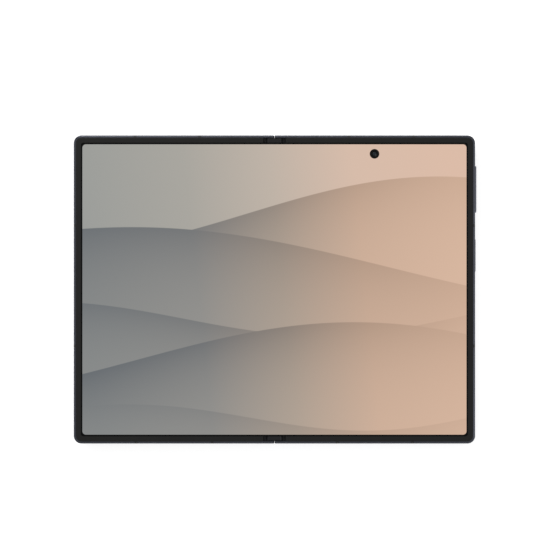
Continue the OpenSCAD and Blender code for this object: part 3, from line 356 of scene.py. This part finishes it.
METAL = {"metallic": 1.0}
FINE_METAL = {"metallic": 1.0, "tone": 0.04, "depth": 0.0004 * MM}
SURFACES = (                         # the record's slot, sRGB colour, roughness, size of the grain, other settings
    ("frame_metal", (84, 86, 94), 0.38, 0.10 * MM, FINE_METAL),
    ("island_metal", (78, 80, 87), 0.34, 0.10 * MM, FINE_METAL),
    ("key_metal", (124, 127, 138), 0.32, 0.10 * MM, FINE_METAL),
    ("spine_metal", (72, 74, 80), 0.36, 0.25 * MM,
     {**METAL, "tone": 0.06, "depth": 0.003 * MM, "stretch": (1, 0.05, 1)}),
    ("rear_glass", (50, 52, 56), 0.42, 0.06 * MM, {"tone": 0.05, "wander": 0.05, "depth": 0.0015 * MM}),
    ("lens_glass", (6, 6, 9), 0.04, 4 * MM, {"tone": 0.2, "wander": 0.01}),
    ("spring_steel", (168, 170, 174), 0.30, 0.3 * MM, {**METAL, "depth": 0.004 * MM, "stretch": (0.06, 1, 1)}),
    ("antenna_plastic", (32, 33, 37), 0.5, 0.2 * MM, {"depth": 0.001 * MM}),
    ("bezel_rubber", (20, 20, 19), 0.6, 0.12 * MM, {"tone": 0.12, "shine": 0.3, "depth": 0.001 * MM}),
    ("cap_plastic", (21, 21, 23), 0.42, 0.2 * MM, {"shine": 0.35, "depth": 0.002 * MM}),
    ("camera_black", (7, 7, 7), 0.5, 0.15 * MM, {"shine": 0.15, "depth": 0.004 * MM}),
    ("cover_panel", (12, 12, 14), 0.25, 5 * MM, {}),
    ("hinge_steel", (140, 141, 143), 0.38, 0.15 * MM, {**METAL, "depth": 0.006 * MM}),
    ("screw_steel", (150, 150, 152), 0.28, 0.1 * MM, {**METAL, "depth": 0.003 * MM}),
    ("battery_foil", (52, 52, 57), 0.45, 1.5 * MM, {"depth": 0.05 * MM}),
    ("circuit_board", (24, 68, 52), 0.4, 0.6 * MM, {"depth": 0.01 * MM}),
    ("speaker_plastic", (34, 34, 35), 0.5, 0.3 * MM, {"depth": 0.006 * MM}),
    ("copper", (196, 120, 82), 0.3, 0.2 * MM, {**METAL, "depth": 0.01 * MM}),
    ("flex_film", (176, 110, 40), 0.35, 0.8 * MM, {"depth": 0.004 * MM}),
    ("flash_lens", (226, 214, 176), 0.22, 0.3 * MM, {"depth": 0.01 * MM}),
)


def make_finishes():
    """One finish for each row of the table, by the slot's name."""
    made = {slot: surface(slot, linear(*colour), roughness, grain, **more)
            for slot, colour, roughness, grain, more in SURFACES}
    made["rear_glass"].set({"Coat Weight": 0.15, "Coat Roughness": 0.3})
    return made


finishes = {name: finish.material for name, finish in make_finishes().items()}
finishes["display_surface"] = display_finish()
finishes["outer_glass"] = cover_finish()


def dress_cad_nodes():
    """Gives every CAD node the finish of its slot in the record."""
    for part in frame["record"]["subparts"]:
        mesh = frame["nodes"][part["node"]].data
        mesh.materials.clear()
        mesh.materials.append(finishes[part["material_slot"]])


# ---- Mesh makers ---------------------------------------------------------------------------------


CREASE = math.radians(35)            # edges sharper than this stay crisp


def new_object(name, bm, material, smooth=True):
    """Turns a bmesh into an object with this finish."""
    mesh = bpy.data.meshes.new(name)
    bmesh.ops.recalc_face_normals(bm, faces=bm.faces)
    bm.to_mesh(mesh)
    bm.free()
    obj = bpy.data.objects.new(name, mesh)
    bpy.context.collection.objects.link(obj)
    mesh.materials.append(material)
    if smooth:
        for face in mesh.polygons:
            face.use_smooth = True
    return obj


def shade_by_angle(obj):
    """Smooth shading that keeps sharp edges crisp."""
    mesh = obj.data
    bm = bmesh.new()
    bm.from_mesh(mesh)
    for edge in bm.edges:
        if len(edge.link_faces) == 2:
            edge.smooth = edge.calc_face_angle(0) < CREASE
    bm.to_mesh(mesh)
    bm.free()
    return obj


def lathe(name, centre, profile, material, segments=96):
    """Turns a profile of (radius, height) points about the Z axis through centre. Closed at radius zero."""
    bm = bmesh.new()
    rings = []
    for radius, height in profile:
        if radius == 0:
            rings.append([bm.verts.new(centre + Vector((0, 0, height)))])
            continue
        ring = []
        for i in range(segments):
            a = 2 * math.pi * i / segments
            ring.append(bm.verts.new(centre + Vector((radius * math.cos(a), radius * math.sin(a), height))))
        rings.append(ring)
    for lower, upper in zip(rings, rings[1:]):
        for i in range(segments):
            j = (i + 1) % segments
            loop = [lower[i % len(lower)], lower[j % len(lower)], upper[j % len(upper)], upper[i % len(upper)]]
            bm.faces.new(list(dict.fromkeys(loop)))
    return shade_by_angle(new_object(name, bm, material))


def display_outline(x_edge):
    """Upper edge of one half of the display, from the fold to its outer end, as (x, y) points."""
    sign = 1 if x_edge > 0 else -1
    bend_steps, flat_steps, corner_steps = 32, 4, 8
    flat_start = strip_hi.x
    columns = [sign * BEND_HALF * i / bend_steps for i in range(bend_steps + 1)]
    columns += [sign * (BEND_HALF + (flat_start - BEND_HALF) * i / flat_steps) for i in range(1, flat_steps + 1)]
    outline = [(x, strip_hi.y) for x in columns]
    outline.append((columns[-1], panel_hi.y))
    outline.append((x_edge - sign * SHEET_CORNER, panel_hi.y))
    for i in range(1, corner_steps + 1):
        a = math.pi / 2 * i / corner_steps
        outline.append((x_edge - sign * SHEET_CORNER * (1 - math.sin(a)),
                        panel_hi.y - SHEET_CORNER * (1 - math.cos(a))))
    return outline


def closed_sheet(outline):
    """A closed sheet as thick as the display, between this upper edge and its mirror image below."""
    bm = bmesh.new()
    layers = []
    for z in (PANEL_BOTTOM, PANEL_TOP):
        upper = [bm.verts.new((x, y, z)) for x, y in outline]
        lower = [bm.verts.new((x, -y, z)) for x, y in outline]
        layers.append((upper, lower))
    for upper, lower in layers:
        for i in range(len(outline) - 1):
            bm.faces.new((upper[i], upper[i + 1], lower[i + 1], lower[i]))
    (upper_b, lower_b), (upper_t, lower_t) = layers
    for bottom, top in ((upper_b, upper_t), (lower_b, lower_t)):
        for i in range(len(outline) - 1):
            bm.faces.new((bottom[i], bottom[i + 1], top[i + 1], top[i]))
    for i in (0, -1):
        bm.faces.new((upper_b[i], lower_b[i], lower_t[i], upper_t[i]))
    return bm


def map_picture(bm):
    """Lays the picture over the whole open phone, so that it bends with the sheet."""
    uv = bm.loops.layers.uv.new("picture")
    for face in bm.faces:
        for loop in face.loops:
            co = loop.vert.co
            loop[uv].uv = (0.5 + co.x / (2 * HALF_W), 0.5 + co.y / (2 * HALF_H))


def display_half(name, x_edge, replaced):
    """One half of the flexible display as a closed sheet, fine enough near the fold to bend."""
    sign = 1 if x_edge > 0 else -1
    bm = closed_sheet(display_outline(x_edge))
    map_picture(bm)
    obj = new_object(name, bm, finishes["display_surface"])
    if sign > 0:
        cut_round_hole(obj, FRONT_CAMERA, FRONT_CAMERA_R)
    shade_by_angle(obj)
    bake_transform(obj)
    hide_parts(*replaced)
    return obj


def cut_round_hole(obj, centre, radius):
    """Cuts a round hole right through a sheet, along Z."""
    deep = 2 * MM
    cutter = lathe("cutter", centre, [(0, -deep), (radius, -deep), (radius, deep), (0, deep)],
                   obj.data.materials[0], 64)
    cut = obj.modifiers.new("hole", "BOOLEAN")
    cut.operation = "DIFFERENCE"
    cut.solver = "EXACT"
    cut.object = cutter
    bpy.context.view_layer.update()
    result = bpy.data.meshes.new_from_object(obj.evaluated_get(bpy.context.evaluated_depsgraph_get()))
    obj.modifiers.clear()
    obj.data = result
    bpy.data.objects.remove(cutter)


def place(obj, body):
    """Fixes a piece to a body of the frame."""
    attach(obj, body)
    return obj


# ---- Lenses --------------------------------------------------------------------------------------


def lens_finish(name, centre, radius, tints):
    """Coated glass: tints are (share of the radius, colour) pairs, from the lens's axis outwards."""
    finish = Finish(name).set({"Roughness": 0.03, "IOR": 1.6, "Specular IOR Level": 0.2})
    share = distance_to(*finish.place(), centre) * (1 / radius)
    finish.link(finish.ramp(share, tints), "Base Color")
    return finish.material


def dome_profile(radius, edge, rise, steps=12):
    """Profile of a half ellipse over a lens of this radius, from its top to its edge."""
    quarter = [math.pi / 2 * i / steps for i in range(steps + 1)]
    return [(radius * math.sin(a), edge - rise * math.cos(a)) for a in quarter]


def rear_lens(name, centre, window_r, aperture, tints):
    """Glass window with a metal ring, and under it a stepped barrel and a domed front element.

    centre lies in the window's outer face, and heights are counted inwards from there.
    """
    deep = lens_hi.z - lens_lo.z
    ring_width, proud = 0.62 * MM, 0.12 * MM
    inner = window_r - ring_width
    ring = lathe(name + "_ring", centre, [
        (window_r, deep), (window_r, 0.0), (window_r - proud, -proud), (inner + proud, -proud), (inner, 0.0),
        (inner, deep), (window_r, deep)], finishes["key_metal"])
    place(ring, "right_half")
    barrel = inner - aperture        # width of the stepped ring round the aperture
    rim_bevel, step_deep, lip_deep, well_deep = 0.03 * MM, 0.02 * MM, 0.06 * MM, 0.16 * MM
    dome_r = aperture - 0.1 * MM
    window = lathe(name + "_window", centre, [
        (inner, deep), (inner, rim_bevel), (inner - rim_bevel, 0.0), (aperture + 0.65 * barrel, 0.0),
        (aperture + 0.60 * barrel, step_deep), (aperture + 0.05 * barrel, step_deep), (aperture, lip_deep),
        (dome_r, well_deep), (dome_r, deep), (inner, deep)],
        finishes["lens_glass"])
    place(window, "right_half")
    dome_edge, dome_rise = 0.38 * MM, 0.22 * MM
    element = lathe(name + "_element", centre,
                    dome_profile(dome_r, dome_edge, dome_rise) + [(dome_r, deep), (0, deep)],
                    lens_finish(name + "_coating", centre, dome_r, tints))
    place(element, "right_half")
    return window


COATING = (0.0, 0.45, 0.8, 1.0)      # shares of a rear lens's radius that its tints lie at
MAIN_TINTS = ((30, 22, 58), (16, 10, 35), (26, 52, 60), (4, 4, 5))
WIDE_TINTS = ((20, 34, 62), (10, 19, 38), (50, 30, 58), (4, 4, 5))
MAIN_APERTURE = 3.3 * MM
WIDE_APERTURE = 2.7 * MM


def make_rear_lenses():
    """Both rear cameras' windows, side by side in the island."""
    middle_y = (lens_lo.y + lens_hi.y) / 2
    window_r = (lens_hi.y - lens_lo.y) / 2
    main = rear_lens("main_lens", Vector((lens_lo.x + window_r, middle_y, lens_lo.z)), window_r, MAIN_APERTURE,
                     stops(COATING, MAIN_TINTS))
    wide = rear_lens("wide_lens", Vector((lens_hi.x - window_r, middle_y, lens_lo.z)), window_r, WIDE_APERTURE,
                     stops(COATING, WIDE_TINTS))
    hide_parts("lens_windows")
    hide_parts("lens_windows")


def make_flash():
    """Flash cover with the rings of a flat lens moulded into its face."""
    centre = Vector(((flash_lo.x + flash_hi.x) / 2, (flash_lo.y + flash_hi.y) / 2, flash_lo.z))
    radius = (flash_hi.x - flash_lo.x) / 2
    thick = flash_hi.z - flash_lo.z
    rings = 7
    ringed_share = 0.92              # of the radius; the rest is a plain rim
    tooth, ring_deep = 0.02 * MM, 0.09 * MM
    profile = [(0, thick), (radius, thick), (radius, tooth)]
    for i in range(rings, 0, -1):
        outer = radius * (ringed_share * i / rings)
        inner = radius * (ringed_share * (i - 1) / rings)
        profile += [(outer, 0.0), (inner + tooth, ring_deep)]
    flash = lathe("flash_lens", centre, profile + [(0, ring_deep)], finishes["flash_lens"])
    place(flash, "right_half")
    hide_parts("flash_window")


def make_front_camera():
    """Front camera in its round opening: a tapered black cup, and a lens whose face is part of a ball."""
    mouth, throat, lens_r = 0.98 * FRONT_CAMERA_R, 0.62 * FRONT_CAMERA_R, 0.60 * FRONT_CAMERA_R
    mouth_z, throat_z, floor_z, lens_edge, lens_foot = (-deep * MM for deep in (0.02, 0.16, 0.30, 0.46, 0.50))
    cup = lathe("front_camera_cup", FRONT_CAMERA, [
        (mouth, mouth_z), (throat, throat_z), (lens_r, floor_z), (mouth, floor_z), (mouth, mouth_z)],
        finishes["camera_black"])
    place(cup, "right_half")
    steepest = math.radians(36)      # slope of the lens at its edge
    ball_r = lens_r / math.sin(steepest)
    steps = 10
    slopes = [steepest * i / steps for i in range(steps + 1)]
    face = [(ball_r * math.sin(a), lens_edge + ball_r * (math.cos(a) - math.cos(steepest))) for a in slopes]
    tints = stops((0.0, 0.55, 0.8, 1.0), ((28, 36, 40), (30, 38, 43), (18, 22, 25), (4, 4, 5)))
    lens = lathe("front_camera_lens", FRONT_CAMERA, face + [(lens_r, lens_foot), (0, lens_foot)],
                 lens_finish("front_camera_coating", FRONT_CAMERA, lens_r, tints))
    place(lens, "right_half")


# ---- Small fittings ------------------------------------------------------------------------------


def make_port_contacts():
    """Gold contacts on both faces of the charging port's tongue."""
    contacts, pitch = 12, 0.5 * MM
    width, length, thick = 0.26 * MM, 1.6 * MM, 0.03 * MM
    start = port_lo.y + 1.2 * MM     # their outer ends, this far inside the port's mouth
    tongue = 0.35 * MM               # half thickness of the tongue
    middle = (port_lo + port_hi) / 2
    bm = bmesh.new()
    for side in (-1, 1):
        for i in range(contacts):
            x = middle.x + (i - (contacts - 1) / 2) * pitch
            made = bmesh.ops.create_cube(bm, size=1)
            for v in made["verts"]:
                v.co = Vector((x + v.co.x * width, start + (v.co.y + 0.5) * length,
                               middle.z + side * (tongue + (v.co.z + 0.5) * thick)))
    contacts_obj = new_object("port_contacts", bm, finishes["copper"], smooth=False)
    place(contacts_obj, "right_half")


def make_flex(name, sign, run_top):
    """Half of the ribbon cable over the hinge.

    It crosses the fold in a band and ends in a run along the fold, up to run_top.
    """
    lo, hi = corners("hinge_flex")
    band = -lo.y                     # half height of the band over the fold
    run_width = 2.5 * MM
    bend = 4.4 * MM                  # far enough out for the cable to stay under the wing plate
    steps = 24
    crossing = [bend * i / steps for i in range(steps + 1)]
    run = [hi.x - run_width, hi.x]
    xs = crossing + run
    bm = bmesh.new()
    layers = []
    for z in (lo.z, hi.z):
        columns = [(x, (-band, band)) for x in crossing] + [(x, (-band, band, run_top)) for x in run]
        layers.append([[bm.verts.new((sign * x, y, z)) for y in heights] for x, heights in columns])
    for layer in layers:
        for a, b in zip(layer, layer[1:]):
            bm.faces.new((a[0], b[0], b[1], a[1]))
        bm.faces.new((layer[-2][1], layer[-1][1], layer[-1][2], layer[-2][2]))
    low, high = layers
    rim = [(i, 0) for i in range(len(xs))] + [(len(xs) - 1, 1), (len(xs) - 1, 2), (len(xs) - 2, 2)]
    rim += [(i, 1) for i in range(len(xs) - 2, -1, -1)]
    for (i, j), (k, m) in zip(rim, rim[1:] + rim[:1]):
        bm.faces.new((low[i][j], low[k][m], high[k][m], high[i][j]))
    flex = new_object(name, bm, finishes["flex_film"], smooth=False)
    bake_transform(flex)
    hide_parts("hinge_flex")


# ---- Studio --------------------------------------------------------------------------------------

PHOTO_PX = 550
PHONE_PX = 400.85                   # width of the open phone in the photograph's frame
PHONE_CENTRE_PX = (274.44, 289.47)  # middle of the phone in that frame
LENS_MM = 150
SENSOR_MM = 36
FLOOR_SIZE = 6
FLOOR_DROP = 0.02 * MM              # the floor lies this far under the phone
FLOOR_GREY = (0.78, 0.78, 0.78, 1)
FLOOR_LIFT = 0.66                   # glow that lifts the floor to white where the camera sees it
WHITE = (1, 1, 1, 1)
WORLD_LEVEL = 0.42


def make_camera():
    """Straight above the display, as far away as gives the photograph's scale at the phone's widest."""
    per_px = 2 * HALF_W / PHONE_PX
    distance = PHOTO_PX * per_px * LENS_MM / SENSOR_MM
    data = bpy.data.cameras.new("camera")
    data.lens = LENS_MM
    data.sensor_width = SENSOR_MM
    data.clip_end = 100
    camera = bpy.data.objects.new("camera", data)
    camera.location = ((PHOTO_PX / 2 - PHONE_CENTRE_PX[0]) * per_px, (PHONE_CENTRE_PX[1] - PHOTO_PX / 2) * per_px,
                       (frame_lo.z + frame_hi.z) / 2 + distance)
    bpy.context.collection.objects.link(camera)
    bpy.context.scene.camera = camera


def make_floor():
    """Pale floor under the phone, white to the camera where no shadow falls."""
    bm = bmesh.new()
    bmesh.ops.create_grid(bm, x_segments=1, y_segments=1, size=FLOOR_SIZE / 2)
    material = bpy.data.materials.new("floor")
    material.use_nodes = True
    tree = material.node_tree
    shader = tree.nodes["Principled BSDF"]
    shader.inputs["Base Color"].default_value = FLOOR_GREY
    shader.inputs["Roughness"].default_value = 0.9
    shader.inputs["Specular IOR Level"].default_value = 0.0
    path = tree.nodes.new("ShaderNodeLightPath")
    seen = Value(tree, path.outputs["Is Camera Ray"]).math("MAXIMUM", Value(tree, path.outputs["Is Glossy Ray"]))
    seen = seen.math("MAXIMUM", Value(tree, path.outputs["Is Transmission Ray"])) * FLOOR_LIFT
    shader.inputs["Emission Color"].default_value = WHITE
    tree.links.new(seen.source, shader.inputs["Emission Strength"])
    floor = new_object("floor", bm, material, smooth=False)
    floor.location.z = -FLOOR_DROP


def area_light(name, place_at, size, power, aim=(0, 0, 0)):
    """A rectangular light of this width and height, aimed at the phone."""
    data = bpy.data.lights.new(name, "AREA")
    data.shape = "RECTANGLE"
    data.size, data.size_y = size
    data.energy = power
    light = bpy.data.objects.new(name, data)
    light.location = place_at
    light.rotation_euler = (Vector(aim) - Vector(place_at)).to_track_quat("-Z", "Y").to_euler()
    bpy.context.collection.objects.link(light)


def make_lights():
    """Even light from all round, a soft key light from the upper left and a weaker fill light."""
    world = bpy.data.worlds.new("studio")
    world.use_nodes = True
    background = world.node_tree.nodes["Background"]
    background.inputs["Color"].default_value = WHITE
    background.inputs["Strength"].default_value = WORLD_LEVEL
    bpy.context.scene.world = world
    area_light("key", (-0.55, 0.80, 0.50), size=(0.7, 0.5), power=9.0)
    area_light("fill", (0.75, -0.35, 0.75), size=(0.7, 0.7), power=2.2)


# ---- Assembly ------------------------------------------------------------------------------------

bpy.context.scene.view_settings.view_transform = "Standard"
make_camera()
make_floor()
make_lights()
dress_cad_nodes()
display_half("display_right", panel_hi.x, ["right_display_panel", "display_fold"])
display_half("display_left", left_panel_lo.x, ["left_display_panel", "display_fold"])
make_rear_lenses()
make_flash()
make_front_camera()
make_port_contacts()
make_flex("flex_right", 1, run_top=22 * MM)
make_flex("flex_left", -1, run_top=34 * MM)
